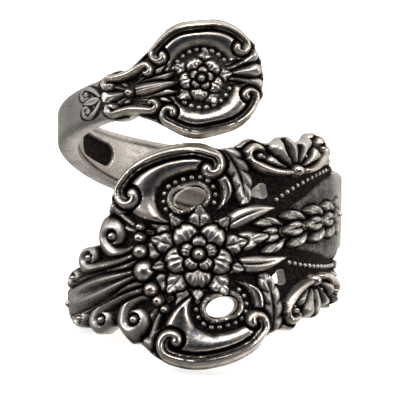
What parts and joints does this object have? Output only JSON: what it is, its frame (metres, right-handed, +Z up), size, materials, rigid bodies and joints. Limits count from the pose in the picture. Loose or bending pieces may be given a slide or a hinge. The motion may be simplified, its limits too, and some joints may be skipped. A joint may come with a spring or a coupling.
{
  "type": "spoon ring",
  "caption": "Bypass finger ring wound from a silver spoon handle: small round carved end, plain tapering band and wide pierced, carved end with a leaf tip.",
  "frame": {"origin": "the middle of the bounding box's bottom, on the floor that the ring lies on", "axes": "+Z up, the round and wide carved ends face -Y, and the finger hole's axis leans back towards +Y as the ring lies by itself"},
  "size_m": [0.0228, 0.0284, 0.0233],
  "materials": {
    "silver": "oxidised silver: bright worn high places, near-black hollows"
  },
  "bodies": {
    "root": {"spoon_ring": "silver"}
  },
  "joints": []
}
